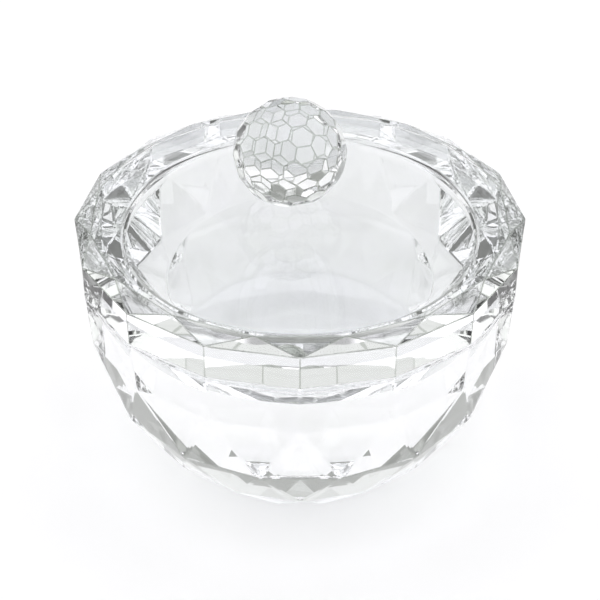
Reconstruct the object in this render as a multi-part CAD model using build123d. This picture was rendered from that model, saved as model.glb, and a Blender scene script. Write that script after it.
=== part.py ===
from build123d import *
import math
import os

# Cut crystal dish with a loose faceted lid and a faceted ball knob.
# Millimetres, +Z up, -Y is the front. The origin is the middle of the resting face.
# The dish is a solid of crystal glass ground into rows of flat facets around a round
# outline, with a shallow round well sunk in its top. The lid is a ground disc whose
# round boss drops into the well. A faceted ball is bonded to the lid as its knob.

# ---- driving dimensions -------------------------------------------------------
facets_around = 16          # flats around the dish and the lid
outline_radius = 36.0       # girdle of the dish and lid, measured to the corners
bowl_height = 37.5          # resting face to the rim
lid_edge_height = 5.7       # upright flats of the lid
crown_height = 1.4          # rise of the bevel between the flats and the table
dome_rise = 1.6             # the polished top swells this much from the table's edge
well_radius = 28.0          # mouth of the well
well_floor_radius = 20.7    # flat floor of the well
well_depth = 9.5            # rim to the floor of the well
boss_height = 2.6           # boss under the lid, below the rim
knob_diameter = 18.0        # ball across its middle, over the points of its facets
bond_thickness = 0.2        # cured adhesive between the ball and the lid
knob_shift_x = -1.6         # the ball is bonded a little off the middle of the lid
knob_shift_y = 1.8

# ---- clearances and proportions -------------------------------------------------
boss_clearance = 0.1        # radial running fit of the boss in the mouth of the well
rim_break = 0.35            # ground edge break at the mouth and on the boss
well_round = 0.8            # radius of the turn from the well's floor into its side, and at its mouth
mouth_depth_ratio = 0.45    # share of the well depth that is straight below the rim
knob_height_ratio = 0.94    # the ball is this much shorter than it is wide
knob_flat_ratio = 0.95      # drop of the ball's flat below its middle, over its half height
facet_depth_ratio = 0.976   # middle of each facet of the ball, over its radius
table_ratio = 0.925         # corner radius of the lid's table, over the outline radius
dome_ratio = 0.975          # radius of the swell, over the inner radius of the table
bond_ratio = 0.9            # radius of the bond, over the radius of the ball's flat
overrun = 1.0               # cutters and joined blanks run past the rim by this much
height_match = 0.01         # two edges nearer in height than this are the same height

# Rows of facets of the dish from the rim down: share of the height, share of the
# outline radius, and the turn of the row's corners in steps of half a flat.
bowl_rows = [
    (1.00, 1.000, 0),
    (0.77, 0.985, 0),
    (0.44, 0.905, 1),
    (0.18, 0.740, 0),
    (0.00, 0.565, 1),
]

half_flat = 180.0 / facets_around


def ring_points(z, radius, turn):
    """Corners of one row, with a corner at the front when the turn is zero."""
    points = []
    for index in range(facets_around):
        angle = math.radians(-90.0 + half_flat * (2 * index + turn))
        points.append(Vector(radius * math.cos(angle), radius * math.sin(angle), z))
    return points


def flat_face(points):
    """A plane face through three or more corners."""
    return Face(Wire.make_polygon(points, close=True))


def ground_solid(rows):
    """A solid of flat facets through rows of corners, given from the bottom up."""
    rings = [ring_points(z, radius, turn) for z, radius, turn in rows]
    faces = [flat_face(rings[0]), flat_face(rings[-1])]
    for (low_row, low), (high_row, high) in zip(zip(rows, rings), zip(rows[1:], rings[1:])):
        for index in range(facets_around):
            after = (index + 1) % facets_around
            if low_row[2] == high_row[2]:
                faces.append(flat_face([low[index], low[after], high[after], high[index]]))
            elif low_row[2] > high_row[2]:
                faces.append(flat_face([low[index], high[after], high[index]]))
                faces.append(flat_face([low[index], low[after], high[after]]))
            else:
                faces.append(flat_face([low[index], low[after], high[index]]))
                faces.append(flat_face([low[after], high[after], high[index]]))
    return Solid(Shell(faces))


def turned(outline):
    """A solid turned about +Z from an outline of (radius, height) corners."""
    section = flat_face([Vector(radius, 0.0, z) for radius, z in outline])
    return revolve(section, axis=Axis.Z, revolution_arc=360.0)


def ball_normals():
    """Facet directions of the ball: the corners, edge thirds and faces of an icosahedron."""
    golden = (1.0 + math.sqrt(5.0)) / 2.0
    corners = []
    for first in (-1.0, 1.0):
        for second in (-golden, golden):
            corners.append(Vector(0.0, first, second).normalized())
            corners.append(Vector(first, second, 0.0).normalized())
            corners.append(Vector(second, 0.0, first).normalized())
    slack = 1.1
    near = slack * min((corners[0] - other).length for other in corners[1:])
    normals = list(corners)
    for a in range(12):
        for b in range(a + 1, 12):
            if (corners[a] - corners[b]).length > near:
                continue
            normals.append((corners[a] * 2.0 + corners[b]).normalized())
            normals.append((corners[a] + corners[b] * 2.0).normalized())
            for c in range(b + 1, 12):
                if (corners[a] - corners[c]).length > near or (corners[b] - corners[c]).length > near:
                    continue
                normals.append((corners[a] + corners[b] + corners[c]).normalized())
    return normals


# ---- dish -----------------------------------------------------------------------
bowl_rings = [
    (bowl_height * share, outline_radius * spread, turn)
    for share, spread, turn in reversed(bowl_rows)
]
well_floor_z = bowl_height - well_depth
mouth_z = bowl_height - well_depth * mouth_depth_ratio
well = turned([
    (0.0, well_floor_z),
    (well_floor_radius, well_floor_z),
    (well_radius, mouth_z),
    (well_radius, bowl_height - rim_break),
    (well_radius + rim_break, bowl_height),
    (well_radius + rim_break, bowl_height + overrun),
    (0.0, bowl_height + overrun),
])
bowl = ground_solid(bowl_rings) - well
turn_edges = bowl.edges().filter_by(GeomType.CIRCLE).filter_by(
    lambda edge: min(abs(edge.center().Z - z) for z in (well_floor_z, mouth_z)) < height_match
)
bowl = fillet(turn_edges, radius=well_round)

# ---- lid --------------------------------------------------------------------------
lid_edge_top = bowl_height + lid_edge_height
table_z = lid_edge_top + crown_height
lid_disc = ground_solid([
    (bowl_height, outline_radius, 0),
    (lid_edge_top, outline_radius, 0),
    (table_z, outline_radius * table_ratio, 1),
])
boss_radius = well_radius - boss_clearance
boss = turned([
    (0.0, bowl_height - boss_height),
    (boss_radius - rim_break, bowl_height - boss_height),
    (boss_radius, bowl_height - boss_height + rim_break),
    (boss_radius, bowl_height + overrun),
    (0.0, bowl_height + overrun),
])
dome_radius = outline_radius * table_ratio * math.cos(math.radians(half_flat)) * dome_ratio
dome_curve = (dome_radius ** 2 + dome_rise ** 2) / (2.0 * dome_rise)
dome = Pos(0, 0, table_z + dome_rise - dome_curve) * Sphere(dome_curve)
dome = dome & Pos(0, 0, table_z + dome_rise) * Cylinder(dome_radius, 2.0 * dome_rise)
lid = lid_disc + dome + boss

# ---- ball knob and its bond ---------------------------------------------------------
knob_radius = knob_diameter / 2.0
knob_flat_drop = knob_radius * knob_height_ratio * knob_flat_ratio
knob_shift = math.hypot(knob_shift_x, knob_shift_y)
seat_z = table_z + dome_rise - dome_curve + math.sqrt(dome_curve ** 2 - knob_shift ** 2)
knob_z = seat_z + bond_thickness + knob_flat_drop
knob = Sphere(knob_radius)
for normal in ball_normals():
    facet = Plane(origin=normal * knob_radius * facet_depth_ratio, z_dir=normal)
    knob = split(knob, bisect_by=facet, keep=Keep.BOTTOM)
knob = scale(knob, by=(1.0, 1.0, knob_height_ratio))
knob = split(knob, bisect_by=Plane(origin=(0, 0, -knob_flat_drop), z_dir=(0, 0, 1)), keep=Keep.TOP)
knob = Pos(knob_shift_x, knob_shift_y, knob_z) * knob

# The bond fills from the ball's flat down to the swelling top of the lid.
bond_radius = bond_ratio * knob_radius * math.sqrt(1.0 - knob_flat_ratio ** 2)
bond = Pos(knob_shift_x, knob_shift_y, seat_z) * Cylinder(bond_radius, 2.0 * bond_thickness)
bond = bond - lid

# ---- export ---------------------------------------------------------------------------
pieces = {
    "bowl": bowl,
    "lid": lid,
    "knob": knob,
    "knob_bond": bond,
}
os.makedirs("parts", exist_ok=True)
for name, shape in pieces.items():
    solids = shape.solids()
    assert len(solids) == 1, name
    export_step(solids[0], f"parts/{name}.step")
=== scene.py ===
import logging
import math
from dataclasses import dataclass
from enum import Enum

import bmesh
import bpy
from mathutils import Matrix, Vector


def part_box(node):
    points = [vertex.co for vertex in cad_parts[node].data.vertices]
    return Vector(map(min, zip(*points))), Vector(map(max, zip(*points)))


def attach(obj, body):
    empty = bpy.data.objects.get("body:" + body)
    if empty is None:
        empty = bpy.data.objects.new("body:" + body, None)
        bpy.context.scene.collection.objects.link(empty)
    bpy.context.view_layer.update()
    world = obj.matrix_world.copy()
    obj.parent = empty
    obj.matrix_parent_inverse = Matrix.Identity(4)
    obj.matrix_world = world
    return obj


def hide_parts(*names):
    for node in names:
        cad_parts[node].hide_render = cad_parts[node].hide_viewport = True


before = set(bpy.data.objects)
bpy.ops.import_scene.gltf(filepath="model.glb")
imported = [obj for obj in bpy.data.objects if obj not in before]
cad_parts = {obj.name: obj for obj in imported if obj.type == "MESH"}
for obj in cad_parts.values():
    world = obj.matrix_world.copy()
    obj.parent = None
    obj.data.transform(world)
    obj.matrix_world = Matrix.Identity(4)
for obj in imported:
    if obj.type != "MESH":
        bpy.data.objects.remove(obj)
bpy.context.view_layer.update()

log = logging.getLogger("covered_dish")
logging.basicConfig(level=logging.INFO, format="%(message)s")

MM = 0.001
AROUND = 16                    # flats around the dish and the lid
HALF_FLAT = math.pi / AROUND   # the turn of a row that stands half a flat round
SPIN_STEPS = 192               # steps of a turned surface around +Z
ROUND_STEPS = 20               # steps of a rounded corner in a turned outline
DOME_STEPS = 40                # steps of the lid's swell, from its middle out
BOND_SIDES = 64                # flats that stand for the round side of the bond
SAME = 1e-6                    # points nearer than this are one point, in metres
RING_SLACK = 0.01 * MM         # a ring's corners stand this near its height
ONE_FLAT = math.radians(0.2)   # faces that bend less than this are one facet
LEVEL = 0.999                  # share of a level face's normal that is vertical, at least
UP = Vector((0.0, 0.0, 1.0))
EDGE_FINISH = 1                # place of the dulled edge, with its painted grey shade line, among a piece's finishes

Mesh = bmesh.types.BMesh
Vert = bmesh.types.BMVert
Edge = bmesh.types.BMEdge
Face = bmesh.types.BMFace


# ---------------------------------------------------------------- colours and nodes

def linear(hex_code: str) -> tuple[float, float, float, float]:
    """Turns an sRGB hex colour into a linear RGBA one.

    Args:
        hex_code: six hex digits, such as "F4F5F8".

    Returns:
        The colour as red, green, blue and an alpha of 1.
    """
    def channel(index: int) -> float:
        value = int(hex_code[2 * index:2 * index + 2], 16) / 255.0
        return value / 12.92 if value <= 0.04045 else ((value + 0.055) / 1.055) ** 2.4
    return channel(0), channel(1), channel(2), 1.0


def add_node(tree: bpy.types.NodeTree, kind: str, settings: dict | None = None,
             inputs: dict | None = None, links: dict | None = None) -> bpy.types.Node:
    """Adds one node with its settings, socket values and incoming links.

    Args:
        tree: the node tree it goes in.
        kind: the node's type name.
        settings: attributes of the node.
        inputs: values of its input sockets, by name or number.
        links: output sockets that feed its inputs, by name or number.

    Returns:
        The new node.
    """
    node = tree.nodes.new(kind)
    for name, value in (settings or {}).items():
        setattr(node, name, value)
    for name, value in (inputs or {}).items():
        node.inputs[name].default_value = value
    for name, socket in (links or {}).items():
        tree.links.new(socket, node.inputs[name])
    return node


def new_material(name: str) -> tuple[bpy.types.Material, bpy.types.NodeTree]:
    """Starts a node material.

    Args:
        name: the material's name.

    Returns:
        The material and its emptied node tree.
    """
    material = bpy.data.materials.new(name)
    material.use_nodes = True
    material.node_tree.nodes.clear()
    return material, material.node_tree


@dataclass(frozen=True)
class CrystalGlass:
    """Optical crystal (K9 class), sawn, ground on flat laps and polished.

    It gives the eye hard bright and dark lines where its facets bend the light, a
    faint grey-green in its depth, and a slight wander in the lines from the wave
    that hand lapping leaves in a facet.
    """

    name: str = "crystal_lapped_and_polished"
    clear_hex: str = "F7F7FA"
    cord_hex: str = "F3F5F3"
    ior: float = 1.52
    cord_mm: float = 9.0        # spacing of the faint cords in the melt
    lap_mm: float = 4.0         # length of the polisher's wave in a facet
    lap_height_mm: float = 0.003
    haze: float = 0.012         # roughness where the polish is at its dullest
    haze_from: float = 0.45     # strength of the cords where the haze starts
    haze_full: float = 0.8      # and where it is at its dullest

    def build(self) -> bpy.types.Material:
        """Returns the glass as a node material on Object coordinates."""
        material, tree = new_material(self.name)
        place = add_node(tree, "ShaderNodeTexCoord").outputs["Object"]
        cords = add_node(
            tree, "ShaderNodeTexNoise",
            inputs={"Scale": 1.0 / (self.cord_mm * MM), "Detail": 2.0, "Distortion": 1.2},
            links={"Vector": place})
        tint = add_node(
            tree, "ShaderNodeMix", {"data_type": "RGBA"},
            {6: linear(self.clear_hex), 7: linear(self.cord_hex)},
            {0: cords.outputs["Fac"]})
        lap = add_node(
            tree, "ShaderNodeTexNoise",
            inputs={"Scale": 1.0 / (self.lap_mm * MM), "Detail": 1.0},
            links={"Vector": place})
        wave = add_node(
            tree, "ShaderNodeBump",
            inputs={"Strength": 1.0, "Distance": self.lap_height_mm * MM},
            links={"Height": lap.outputs["Fac"]})
        polish = add_node(
            tree, "ShaderNodeMapRange",
            inputs={"From Min": self.haze_from, "From Max": self.haze_full,
                    "To Min": 0.0, "To Max": self.haze},
            links={"Value": cords.outputs["Fac"]})
        glass = add_node(
            tree, "ShaderNodeBsdfPrincipled",
            inputs={"IOR": self.ior, "Transmission Weight": 1.0, "Metallic": 0.0},
            links={"Base Color": tint.outputs[2], "Normal": wave.outputs["Normal"],
                   "Roughness": polish.outputs["Result"]})
        add_node(tree, "ShaderNodeOutputMaterial", links={"Surface": glass.outputs["BSDF"]})
        return material


@dataclass(frozen=True)
class DulledEdgeAndPaintedShade:
    """The narrow rounded edge between two facets, which polishing leaves a little dull.

    Its grey colour is painted shade: it gives the eye a thin soft grey line round every facet.
    """

    name: str = "crystal_edge_dulled_and_painted_shade"
    # painted shade: this grey, far darker than the glass, draws a dark line along each rounded edge
    clear_hex: str = "ABB0A9"
    ior: float = 1.52
    roughness: float = 0.15

    def build(self) -> bpy.types.Material:
        """Returns the edge's rough glass, with its painted grey shade, as a node material."""
        material, tree = new_material(self.name)
        glass = add_node(
            tree, "ShaderNodeBsdfPrincipled",
            inputs={"Base Color": linear(self.clear_hex), "IOR": self.ior,
                    "Transmission Weight": 1.0, "Metallic": 0.0, "Roughness": self.roughness})
        add_node(tree, "ShaderNodeOutputMaterial", links={"Surface": glass.outputs["BSDF"]})
        return material


@dataclass(frozen=True)
class ClearAdhesive:
    """Light-cured acrylate adhesive, clear, pressed out to a thin disc.

    It gives the eye almost nothing: a faint spot under the ball, a trace greyer
    than the glass on each side of it.
    """

    name: str = "acrylate_adhesive_cured"
    clear_hex: str = "E9EBE4"
    thick_hex: str = "C9CEC4"
    ior: float = 1.50
    bubble_mm: float = 0.8      # spacing of the trapped unevenness
    roughness: float = 0.02

    def build(self) -> bpy.types.Material:
        """Returns the adhesive as a node material on Object coordinates."""
        material, tree = new_material(self.name)
        place = add_node(tree, "ShaderNodeTexCoord").outputs["Object"]
        cloud = add_node(
            tree, "ShaderNodeTexNoise",
            inputs={"Scale": 1.0 / (self.bubble_mm * MM), "Detail": 2.0},
            links={"Vector": place})
        tint = add_node(
            tree, "ShaderNodeMix", {"data_type": "RGBA"},
            {6: linear(self.clear_hex), 7: linear(self.thick_hex)},
            {0: cloud.outputs["Fac"]})
        glass = add_node(
            tree, "ShaderNodeBsdfPrincipled",
            inputs={"IOR": self.ior, "Transmission Weight": 1.0,
                    "Roughness": self.roughness},
            links={"Base Color": tint.outputs[2]})
        add_node(tree, "ShaderNodeOutputMaterial", links={"Surface": glass.outputs["BSDF"]})
        return material


# ---------------------------------------------------------------- shared shapes

class Stand(Enum):
    """How a row of corners stands around the outline."""

    CORNER_FRONT = 0
    FLAT_FRONT = 1


@dataclass(frozen=True)
class FacetRow:
    """One level ring of corners that flat facets run between.

    Args:
        height: over the resting face, in metres.
        radius: out to the corners, in metres.
        stand: whether a corner or a flat faces the front.
    """

    height: float
    radius: float
    stand: Stand

    def add_to(self, mesh: Mesh) -> list[Vert]:
        """Adds the ring to a mesh and returns its corners."""
        place = Matrix.Translation((0.0, 0.0, self.height))
        turn = Matrix.Rotation(HALF_FLAT * self.stand.value, 4, "Z")
        made = bmesh.ops.create_circle(
            mesh, cap_ends=False, segments=AROUND, radius=self.radius, matrix=place @ turn)
        return made["verts"]


def grind(mesh: Mesh, rows: list[FacetRow], edge_polish: float) -> None:
    """Makes a solid of flat facets through rows of corners, with polished edges.

    Args:
        mesh: an empty mesh, which the solid is made in.
        rows: the rows of corners.
        edge_polish: width that the polisher takes off each edge, in metres.
    """
    corners = [corner for row in rows for corner in row.add_to(mesh)]
    bmesh.ops.convex_hull(mesh, input=corners)
    bmesh.ops.dissolve_limit(
        mesh, angle_limit=ONE_FLAT, verts=mesh.verts[:], edges=mesh.edges[:])
    bmesh.ops.recalc_face_normals(mesh, faces=mesh.faces[:])
    made = bmesh.ops.bevel(
        mesh, geom=mesh.edges[:], offset=edge_polish, offset_type="OFFSET", segments=2,
        profile=0.5, affect="EDGES", material=-1, clamp_overlap=True)
    for face in made["faces"]:
        face.material_index = EDGE_FINISH


def open_face(mesh: Mesh, facing: Vector) -> None:
    """Takes away the large level face that looks along a direction.

    Args:
        mesh: the ground solid.
        facing: straight up or straight down.
    """
    level = [face for face in mesh.faces if face.normal.dot(facing) > LEVEL]
    bmesh.ops.delete(mesh, geom=[max(level, key=Face.calc_area)], context="FACES_ONLY")


def turn_profile(mesh: Mesh, corners: list[tuple[float, float]],
                 rounds: dict[int, float]) -> tuple[list[Vert], list[Face]]:
    """Turns an open outline about +Z, with some of its corners rounded.

    Args:
        mesh: the mesh that the surface is added to.
        corners: radius and height of each corner, in metres.
        rounds: for a corner's number, the radius that it is rounded to.

    Returns:
        The new vertices and the new faces.
    """
    old_verts, old_faces = set(mesh.verts), set(mesh.faces)
    line = [mesh.verts.new((radius, 0.0, height)) for radius, height in corners]
    for start, end in zip(line, line[1:]):
        mesh.edges.new((start, end))
    places = [vert.co.copy() for vert in line]
    for number, radius in rounds.items():
        before, here, after = places[number - 1:number + 2]
        bend = (here - before).angle(after - here)
        bmesh.ops.bevel(
            mesh, geom=[line[number]], offset=radius * math.tan(bend / 2.0),
            offset_type="OFFSET", segments=ROUND_STEPS, profile=0.5, affect="VERTICES",
            material=-1, clamp_overlap=False)
    wire = [vert for vert in mesh.verts if vert not in old_verts]
    edges = list({edge for vert in wire for edge in vert.link_edges})
    bmesh.ops.spin(
        mesh, geom=wire + edges, cent=(0.0, 0.0, 0.0), axis=UP, angle=2.0 * math.pi,
        steps=SPIN_STEPS, use_merge=True)
    made = [vert for vert in mesh.verts if vert not in old_verts]
    bmesh.ops.remove_doubles(mesh, verts=made, dist=SAME)
    made = [vert for vert in mesh.verts if vert not in old_verts]
    return made, [face for face in mesh.faces if face not in old_faces]


def join_level(mesh: Mesh, height: float) -> None:
    """Fills the level band between the two open rings that stand at one height.

    Args:
        mesh: the mesh with the two open rings.
        height: where they stand, in metres.
    """
    rings = [edge for edge in mesh.edges if edge.is_boundary
             and all(abs(vert.co.z - height) < RING_SLACK for vert in edge.verts)]
    bmesh.ops.triangle_fill(mesh, use_beauty=True, use_dissolve=False, edges=rings)


def finish_piece(mesh: Mesh, name: str, round_faces: list[Face],
                 finishes: list[bpy.types.Material], body: str, node: str) -> bpy.types.Object:
    """Closes a mesh off as a piece that rides on a body and stands for a CAD node.

    Args:
        mesh: the finished bmesh, which is freed.
        name: the piece's name.
        round_faces: faces that are shaded smooth.
        finishes: its finish, then that of its ground edges.
        body: the CAD body it rides on.
        node: the CAD node that it replaces.

    Returns:
        The new object.
    """
    for face in mesh.faces:
        face.smooth = False
    for face in round_faces:
        face.smooth = True
    bmesh.ops.recalc_face_normals(mesh, faces=mesh.faces[:])
    if mesh.calc_volume(signed=True) < 0.0:
        bmesh.ops.reverse_faces(mesh, faces=mesh.faces[:])
    open_edges = sum(1 for edge in mesh.edges if not edge.is_manifold)
    data = bpy.data.meshes.new(name)
    mesh.to_mesh(data)
    volume = mesh.calc_volume() / MM ** 3
    mesh.free()
    for finish in finishes:
        data.materials.append(finish)
    piece = bpy.data.objects.new(name, data)
    bpy.context.scene.collection.objects.link(piece)
    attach(piece, body)
    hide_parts(node)
    log.info("%s: %d faces, %.0f mm3, %d open edges",
             name, len(data.polygons), volume, open_edges)
    return piece


# ---------------------------------------------------------------- the pieces

@dataclass
class CutDish:
    """The thick dish: rows of facets outside, a turned well in its top."""

    height: float = 37.5 * MM
    outline: float = 36.0 * MM
    well_radius: float = 28.0 * MM
    floor_radius: float = 20.7 * MM
    well_depth: float = 9.5 * MM
    straight_share: float = 0.45
    rim_break: float = 0.35 * MM
    well_round: float = 0.8 * MM
    edge_polish: float = 0.35 * MM

    def rows(self) -> list[FacetRow]:
        """Returns the rows of corners, from the rim down."""
        shares = [
            (1.00, 1.000, Stand.CORNER_FRONT),
            (0.77, 0.985, Stand.CORNER_FRONT),
            (0.44, 0.905, Stand.FLAT_FRONT),
            (0.18, 0.740, Stand.CORNER_FRONT),
            (0.00, 0.565, Stand.FLAT_FRONT),
        ]
        return [FacetRow(self.height * high, self.outline * wide, stand)
                for high, wide, stand in shares]

    def build(self, finishes: list[bpy.types.Material]) -> bpy.types.Object:
        """Builds the dish and returns it."""
        mesh = bmesh.new()
        grind(mesh, self.rows(), self.edge_polish)
        open_face(mesh, UP)
        floor = self.height - self.well_depth
        mouth = self.height - self.well_depth * self.straight_share
        lip = self.well_radius + self.rim_break
        verts, round_faces = turn_profile(mesh, [
            (self.floor_radius - 2.0 * self.well_round, floor),
            (self.floor_radius, floor),
            (self.well_radius, mouth),
            (self.well_radius, self.height - self.rim_break),
            (lip, self.height),
        ], {1: self.well_round, 2: self.well_round})
        ring = [edge for edge in mesh.edges if edge.is_boundary
                and all(vert in verts and abs(vert.co.z - floor) < SAME for vert in edge.verts)]
        bmesh.ops.edgeloop_fill(mesh, edges=ring)
        join_level(mesh, self.height)
        return finish_piece(mesh, "cut_dish", round_faces, finishes, "bowl", "bowl")


@dataclass
class CutLid:
    """The loose lid: upright flats, a bevel of facets, a swell on top and a boss below."""

    seat: float = 37.5 * MM
    film: float = 0.04 * MM         # air left between the lid and the rim
    edge_height: float = 5.7 * MM
    crown: float = 1.4 * MM
    outline: float = 36.0 * MM
    table_share: float = 0.925
    dome_share: float = 0.975
    dome_rise: float = 1.6 * MM
    boss_radius: float = 27.9 * MM
    boss_height: float = 2.6 * MM
    rim_break: float = 0.35 * MM
    edge_polish: float = 0.12 * MM

    @property
    def table(self) -> float:
        """Height of the flat rim of the lid's top."""
        return self.seat + self.edge_height + self.crown

    @property
    def dome_radius(self) -> float:
        """Radius of the swell, just inside the table's flats."""
        return self.outline * self.table_share * math.cos(HALF_FLAT) * self.dome_share

    @property
    def dome_curve(self) -> float:
        """Radius of the ball that the swell is part of."""
        return (self.dome_radius ** 2 + self.dome_rise ** 2) / (2.0 * self.dome_rise)

    def top_at(self, shift: float) -> float:
        """Returns the height of the swell at a distance from the middle."""
        centre = self.table + self.dome_rise - self.dome_curve
        return centre + math.sqrt(self.dome_curve ** 2 - shift ** 2)

    def build(self, finishes: list[bpy.types.Material]) -> bpy.types.Object:
        """Builds the lid and returns it."""
        mesh = bmesh.new()
        under = self.seat + self.film
        grind(mesh, [
            FacetRow(under, self.outline, Stand.CORNER_FRONT),
            FacetRow(self.seat + self.edge_height, self.outline, Stand.CORNER_FRONT),
            FacetRow(self.table, self.outline * self.table_share, Stand.FLAT_FRONT),
        ], self.edge_polish)
        open_face(mesh, UP)
        open_face(mesh, -UP)
        arc = [self.dome_radius * step / DOME_STEPS for step in range(DOME_STEPS + 1)]
        _, dome = turn_profile(
            mesh, [(radius, self.top_at(radius)) for radius in arc], {})
        foot = self.seat - self.boss_height
        verts, _ = turn_profile(mesh, [
            (self.boss_radius - self.rim_break, foot),
            (self.boss_radius, foot + self.rim_break),
            (self.boss_radius, under),
        ], {})
        side = [face for face in mesh.faces
                if abs(face.normal.z) < 0.1 and all(vert in verts for vert in face.verts)]
        ring = [edge for edge in mesh.edges if edge.is_boundary
                and all(abs(vert.co.z - foot) < SAME for vert in edge.verts)]
        bmesh.ops.edgeloop_fill(mesh, edges=ring)
        join_level(mesh, self.table)
        join_level(mesh, under)
        return finish_piece(mesh, "cut_lid", dome + side, finishes, "lid", "lid")


@dataclass
class BallKnob:
    """The ball: 92 flat facets, flattened a little and cut flat where it is bonded."""

    radius: float = 9.0 * MM
    squat: float = 0.94
    flat_share: float = 0.95
    facet_share: float = 0.976
    blank_share: float = 2.4        # side of the cube it is cut from, over its radius
    shift: tuple[float, float] = (-1.6 * MM, 1.8 * MM)
    bond: float = 0.2 * MM
    edge_polish: float = 0.12 * MM  # width taken off each edge

    @property
    def flat_drop(self) -> float:
        """Drop of the flat below the ball's middle."""
        return self.radius * self.squat * self.flat_share

    def facet_directions(self) -> list[Vector]:
        """Returns the way each facet looks: an icosahedron's corners, edge thirds and faces."""
        mesh = bmesh.new()
        bmesh.ops.create_icosphere(mesh, subdivisions=1, radius=1.0)
        directions = [vert.co.copy() for vert in mesh.verts]
        for edge in mesh.edges:
            first, second = (vert.co for vert in edge.verts)
            directions += [first.lerp(second, share) for share in (1.0 / 3.0, 2.0 / 3.0)]
        directions += [face.calc_center_median() for face in mesh.faces]
        mesh.free()
        return [direction.normalized() for direction in directions]

    def build(self, finishes: list[bpy.types.Material], seat: float) -> bpy.types.Object:
        """Builds the ball over its seat on the lid.

        Args:
            finishes: its finish, then that of its ground edges.
            seat: height of the lid's top under the ball, in metres.

        Returns:
            The ball.
        """
        mesh = bmesh.new()
        bmesh.ops.create_cube(mesh, size=self.blank_share * self.radius)
        for direction in self.facet_directions():
            self.cut(mesh, direction * self.radius * self.facet_share, direction)
        bmesh.ops.scale(mesh, vec=(1.0, 1.0, self.squat), verts=mesh.verts[:])
        self.cut(mesh, -UP * self.flat_drop, -UP)
        bmesh.ops.remove_doubles(mesh, verts=mesh.verts[:], dist=SAME)
        low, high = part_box("knob")
        wide = max(vert.co.x for vert in mesh.verts) - min(vert.co.x for vert in mesh.verts)
        fit = (high.x - low.x) / wide
        bmesh.ops.scale(mesh, vec=(fit, fit, 1.0), verts=mesh.verts[:])
        bmesh.ops.recalc_face_normals(mesh, faces=mesh.faces[:])
        made = bmesh.ops.bevel(
            mesh, geom=mesh.edges[:], offset=self.edge_polish, offset_type="OFFSET",
            segments=1, profile=0.5, affect="EDGES", material=-1, clamp_overlap=True)
        for face in made["faces"]:
            face.material_index = EDGE_FINISH
        middle = Vector((*self.shift, seat + self.bond + self.flat_drop))
        bmesh.ops.translate(mesh, vec=middle, verts=mesh.verts[:])
        return finish_piece(mesh, "ball_knob", [], finishes, "lid", "knob")

    def cut(self, mesh: Mesh, point: Vector, direction: Vector) -> None:
        """Grinds one flat: takes off what lies beyond a plane and closes the cut.

        Args:
            mesh: the blank.
            point: a point of the plane.
            direction: the way the flat looks.
        """
        made = bmesh.ops.bisect_plane(
            mesh, geom=mesh.verts[:] + mesh.edges[:] + mesh.faces[:], dist=SAME / 10.0,
            plane_co=point, plane_no=direction, clear_outer=True)
        edges = [item for item in made["geom_cut"] if isinstance(item, Edge)]
        if edges:
            bmesh.ops.edgeloop_fill(mesh, edges=edges)


@dataclass
class BondDisc:
    """The cured adhesive between the ball's flat and the lid.

    It laps a hair into both, so that no film of air shows between them.
    """

    lap: float = 0.02 * MM
    share: float = 0.9

    def build(self, finishes: list[bpy.types.Material], knob: BallKnob,
              lid: CutLid) -> bpy.types.Object:
        """Builds the disc and returns it.

        Args:
            finishes: its one finish.
            knob: the ball over it.
            lid: the lid under it.

        Returns:
            The disc.
        """
        radius = self.share * knob.radius * math.sqrt(1.0 - knob.flat_share ** 2)
        reach = math.hypot(*knob.shift)
        low = lid.top_at(reach + radius) - self.lap
        high = lid.top_at(reach) + knob.bond + self.lap
        mesh = bmesh.new()
        place = Matrix.Translation((*knob.shift, (low + high) / 2.0))
        bmesh.ops.create_cone(
            mesh, cap_ends=True, segments=BOND_SIDES, radius1=radius, radius2=radius,
            depth=high - low, matrix=place)
        side = [face for face in mesh.faces if abs(face.normal.z) < 0.5]
        return finish_piece(mesh, "bond_disc", side, finishes, "lid", "knob_bond")


# ---------------------------------------------------------------- the studio

@dataclass(frozen=True)
class SkyBand:
    """The light of one band of the sky, from the front round to the back, on both sides.

    Args:
        over: the band takes over from the one below between these heights, in degrees.
        light: the brightness at each angle from the front, in degrees.
        tint: red, green and blue shares of the light.
    """

    over: tuple[float, float]
    light: tuple[tuple[float, float], ...]
    tint: tuple[float, float, float] = (1.0, 1.0, 1.0)


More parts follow.
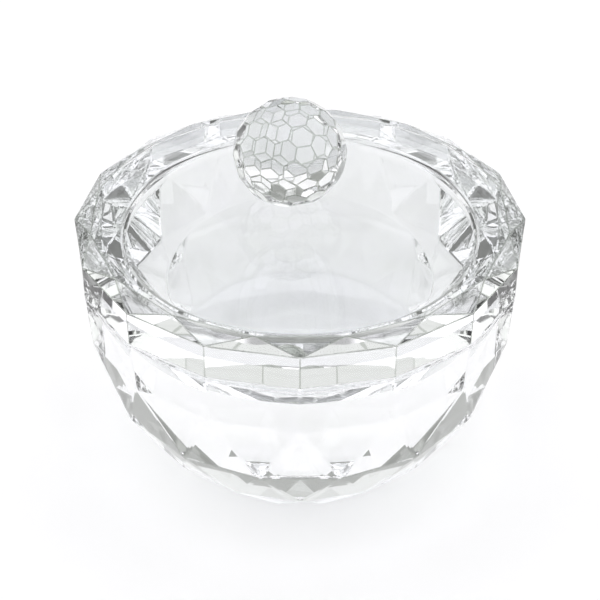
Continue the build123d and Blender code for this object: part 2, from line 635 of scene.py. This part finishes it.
@dataclass
class Studio:
    """A pale floor, a white sky that is dark low down and in strips, and the camera."""

    floor_size: float = 12.0
    floor_hex: str = "FFFFFF"
    film: float = 0.05 * MM           # the dish stands this much clear of the floor
    look_at: Vector = Vector((0.0, 0.0, 43.2 * MM))
    distance: float = 253.4 * MM
    elevation: float = math.radians(33.2)
    tilt: float = math.radians(2.94)  # the axis points this much below what it looks at
    lens: float = 95.2                # in millimetres
    sensor: float = 36.0
    bands: tuple[SkyBand, ...] = (
        SkyBand((-90.0, -90.0), (
            (0.0, 0.08), (100.0, 0.08), (130.0, 0.35), (180.0, 0.35)), (0.97, 1.0, 0.94)),
        SkyBand((13.0, 17.0), (
            (0.0, 0.06), (28.0, 0.06), (34.0, 1.15), (46.0, 1.15), (52.0, 0.15), (70.0, 0.15),
            (76.0, 1.15), (140.0, 1.15), (150.0, 0.85), (180.0, 0.85)), (0.985, 1.0, 0.975)),
        SkyBand((40.0, 44.0), ((0.0, 1.55), (180.0, 1.55)), (1.0, 0.985, 1.01)),
        SkyBand((72.0, 76.0), ((0.0, 0.5), (180.0, 0.5))),
    )

    def build(self) -> None:
        """Adds the floor, the sky and the camera, and sets how light is followed."""
        self.floor()
        self.sky()
        self.camera()
        scene = bpy.context.scene
        scene.view_settings.view_transform = "Standard"
        scene.cycles.max_bounces = 32
        scene.cycles.transmission_bounces = 32
        scene.cycles.glossy_bounces = 16
        scene.cycles.diffuse_bounces = 4
        scene.cycles.blur_glossy = 0.0

    def floor(self) -> None:
        """Adds the pale floor."""
        mesh = bmesh.new()
        bmesh.ops.create_grid(
            mesh, x_segments=4, y_segments=4, size=self.floor_size,
            matrix=Matrix.Translation((0.0, 0.0, -self.film)))
        data = bpy.data.meshes.new("studio_floor")
        mesh.to_mesh(data)
        mesh.free()
        material, tree = new_material("matte_white_floor")
        paint = add_node(tree, "ShaderNodeBsdfDiffuse",
                         inputs={"Color": linear(self.floor_hex)})
        add_node(tree, "ShaderNodeOutputMaterial", links={"Surface": paint.outputs["BSDF"]})
        data.materials.append(material)
        floor = bpy.data.objects.new("studio_floor", data)
        bpy.context.scene.collection.objects.link(floor)

    def sky(self) -> None:
        """Sets the sky, one band over another, the same on the left and the right."""
        world = bpy.data.worlds.new("studio_sky")
        bpy.context.scene.world = world
        world.use_nodes = True
        tree = world.node_tree
        tree.nodes.clear()
        way = add_node(tree, "ShaderNodeTexCoord").outputs["Generated"]
        parts = add_node(tree, "ShaderNodeSeparateXYZ", links={"Vector": way})
        side = add_node(tree, "ShaderNodeMath", {"operation": "ABSOLUTE"},
                        links={0: parts.outputs["X"]})
        front = add_node(tree, "ShaderNodeMath", {"operation": "MULTIPLY"}, {1: -1.0},
                         {0: parts.outputs["Y"]})
        round_by = add_node(tree, "ShaderNodeMath", {"operation": "ARCTAN2"},
                            links={0: side.outputs[0], 1: front.outputs[0]})
        share = add_node(tree, "ShaderNodeMath", {"operation": "DIVIDE"}, {1: math.pi},
                         {0: round_by.outputs[0]})
        colour = None
        for band in self.bands:
            ramp = add_node(tree, "ShaderNodeValToRGB", links={"Fac": share.outputs[0]})
            stops = ramp.color_ramp.elements
            while len(stops) < len(band.light):
                stops.new(1.0)
            for stop, (degrees, level) in zip(stops, band.light):
                stop.position = degrees / 180.0
                stop.color = (level * band.tint[0], level * band.tint[1], level * band.tint[2], 1.0)
            if colour is None:
                colour = ramp.outputs["Color"]
                continue
            low, high = (math.sin(math.radians(angle)) for angle in band.over)
            rise = add_node(
                tree, "ShaderNodeMapRange", {"interpolation_type": "SMOOTHSTEP"},
                {"From Min": low, "From Max": high, "To Min": 0.0, "To Max": 1.0},
                {"Value": parts.outputs["Z"]})
            colour = add_node(
                tree, "ShaderNodeMix", {"data_type": "RGBA"}, None,
                {0: rise.outputs["Result"], 6: colour, 7: ramp.outputs["Color"]}).outputs[2]
        light = add_node(tree, "ShaderNodeBackground", inputs={"Strength": 1.0},
                         links={"Color": colour})
        add_node(tree, "ShaderNodeOutputWorld", links={"Surface": light.outputs["Background"]})

    def camera(self) -> None:
        """Places the camera before the dish, looking down at it."""
        data = bpy.data.cameras.new("studio_camera")
        data.lens = self.lens
        data.sensor_width = self.sensor
        data.clip_start = 0.01
        data.clip_end = 100.0
        camera = bpy.data.objects.new("studio_camera", data)
        back = Vector((0.0, -math.cos(self.elevation), math.sin(self.elevation)))
        camera.location = self.look_at + back * self.distance
        camera.rotation_euler = (math.pi / 2.0 - self.elevation - self.tilt, 0.0, 0.0)
        bpy.context.scene.collection.objects.link(camera)
        bpy.context.scene.camera = camera


# ---------------------------------------------------------------- build

def main() -> None:
    """Builds the dish, the lid, the ball and its bond, then the studio around them.

    The dish's edges are as bright as its facets: with the dulled edge's painted grey shade, they
    would show through the well as a net of lines.
    """
    crystal, dulled_and_painted_shade = CrystalGlass().build(), DulledEdgeAndPaintedShade().build()
    adhesive = ClearAdhesive().build()
    CutDish().build([crystal, crystal])
    lid, knob = CutLid(), BallKnob()
    # the lid's and the ball's edges take the rough edge glass, whose grey is painted shade
    lid.build([crystal, dulled_and_painted_shade])
    knob.build([crystal, dulled_and_painted_shade], lid.top_at(math.hypot(*knob.shift)))
    BondDisc().build([adhesive], knob, lid)
    Studio().build()


if __name__ == "__main__":
    main()
